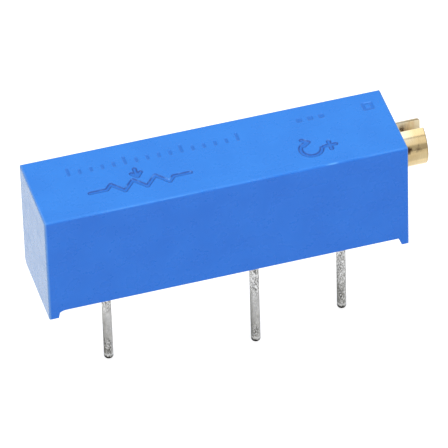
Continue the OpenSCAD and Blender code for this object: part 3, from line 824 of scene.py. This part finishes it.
# ---------------------------------------------------------------- camera
def place_camera():
    """A long lens in front of the object, above it and a little towards its far end."""
    target = Vector(((FAR_X + HEAD_END_X) / 2, 0, TOP_Z / 2))
    azimuth, elevation, roll = math.radians(-15.199), math.radians(41.031), math.radians(-1.888)
    distance, shift_right, shift_up = 334.05, 0.438, -1.025
    forward = Vector((-math.sin(azimuth) * math.cos(elevation), math.cos(azimuth) * math.cos(elevation),
                      -math.sin(elevation)))
    side = forward.cross(Vector((0, 0, 1))).normalized()
    above = side.cross(forward)
    right = side * math.cos(roll) + above * math.sin(roll)
    up = above * math.cos(roll) - side * math.sin(roll)
    place = target - forward * distance + right * shift_right + up * shift_up
    data = bpy.data.cameras.new("camera")
    data.sensor_fit = "HORIZONTAL"
    data.sensor_width = 36
    data.lens = 522.3214
    data.clip_start, data.clip_end = 0.01, 20
    camera = bpy.data.objects.new("camera", data)
    turn = Matrix((right, up, -forward)).transposed()
    camera.matrix_world = Matrix.Translation(place * MM) @ turn.to_4x4()
    scene.collection.objects.link(camera)
    scene.camera = camera


# ---------------------------------------------------------------- studio
# the brightness that reflections see on the floor, at each y from in front of the object to behind it
FLOOR_LEVELS = ((-34, 0.4), (-22, 0.1), (-8, 0.08), (-6, 0.5), (-1, 0.5), (5, 0.95), (18, 0.95), (26, 0.4))
# and in the room, at degrees from the horizon in front, over the top, to the horizon behind
ROOM_LEVELS = ((0, 0.45), (23, 0.5), (31, 0.95), (60, 1.02), (65, 0.3), (70, 1.35), (108, 1.35), (119, 0.9),
               (155, 0.8), (168, 0.6), (180, 0.45))


def white_floor():
    """A pale floor that the camera sees as white, with the object's shadow on it."""
    size = 1.2
    below = cad_box[0][2] - 0.00002
    corners = [(-size, -size, below), (size, -size, below), (size, size, below), (-size, size, below)]
    mesh = bpy.data.meshes.new("floor")
    mesh.from_pydata(corners, [], [(0, 1, 2, 3)])
    floor = bpy.data.objects.new("floor", mesh)
    scene.collection.objects.link(floor)
    material = bpy.data.materials.new("floor_white")
    material.use_nodes = True
    material.node_tree.nodes.clear()
    mesh.materials.append(material)

    # reflections see it bright beside the far end and behind, and dim under the head and past it
    g = Graph(material.node_tree)
    x, y, _ = g.split(g.place())
    level = g.largest(g.levels(y, -40, 40, FLOOR_LEVELS), g.ramp(x, -20, -12, 0.8, 0.0))
    under_head = g.largest(g.ramp(x, 14, 16, 1.0, 0.7), g.ramp(y, 0, 4))
    level = g.product(level, under_head, g.ramp(x, 22, 27, 1.0, 0.0))
    path = g.put("ShaderNodeLightPath", {}).outputs
    seen = g.product(path["Is Camera Ray"], 0.68)
    mirrored = g.product(path["Is Glossy Ray"], level)
    through = g.product(path["Is Transmission Ray"], 0.35)
    strength = g.math("ADD", g.math("ADD", seen, mirrored), g.math("ADD", through, 0.12))
    glow = g.put("ShaderNodeEmission", {"Strength": strength}).outputs[0]
    matt = g.put("ShaderNodeBsdfDiffuse", {"Color": (0.5, 0.5, 0.5, 1)}).outputs[0]
    surface = g.put("ShaderNodeAddShader", {0: matt, 1: glow}).outputs[0]
    g.put("ShaderNodeOutputMaterial", {"Surface": surface})


def studio_world():
    """White to the camera. Reflections see a bright room, dimmer at the horizon and past the head's end."""
    ambient = 0.42
    world = bpy.data.worlds.new("studio")
    scene.world = world
    world.use_nodes = True
    world.node_tree.nodes.clear()
    g = Graph(world.node_tree)
    x, y, z = g.split(g.put("ShaderNodeTexCoord", {}).outputs["Generated"])
    turn = g.product(g.math("ARCTAN2", z, g.product(y, -1.0)), 180 / math.pi)
    room = g.product(g.levels(turn, 0, 180, ROOM_LEVELS), g.ramp(x, 0.75, 0.92, 1.0, 0.4))
    room = g.largest(room, g.ramp(x, -0.5, -0.3, 0.8, 0.0))
    path = g.put("ShaderNodeLightPath", {}).outputs
    seen = g.largest(path["Is Camera Ray"], path["Is Transmission Ray"])
    bright = g.largest(seen, g.product(path["Is Glossy Ray"], room))
    other = g.math("SUBTRACT", 1.0, g.math("ADD", path["Is Glossy Ray"], seen))
    strength = g.largest(g.product(other, ambient), bright)
    background = g.put("ShaderNodeBackground", {"Color": (1, 1, 1, 1), "Strength": strength}).outputs[0]
    g.put("ShaderNodeOutputWorld", {"Surface": background})


def area_light(name, place, size, watts):
    """A soft lamp aimed at the object, which reflections don't see."""
    target = Vector((6.0, 0, 2.0))
    data = bpy.data.lights.new(name, "AREA")
    data.shape = "RECTANGLE"
    data.size, data.size_y = size[0] * MM, size[1] * MM
    data.energy = watts
    light = bpy.data.objects.new(name, data)
    light.location = Vector(place) * MM
    light.rotation_euler = (target - Vector(place)).to_track_quat("-Z", "Y").to_euler()
    light.visible_glossy = False
    scene.collection.objects.link(light)


place_camera()
white_floor()
studio_world()
area_light("overhead", (0, 20, 160), (180, 180), 0.227)
area_light("front_fill", (40, -170, 90), (150, 110), 0.157)

scene.view_settings.view_transform = "Standard"
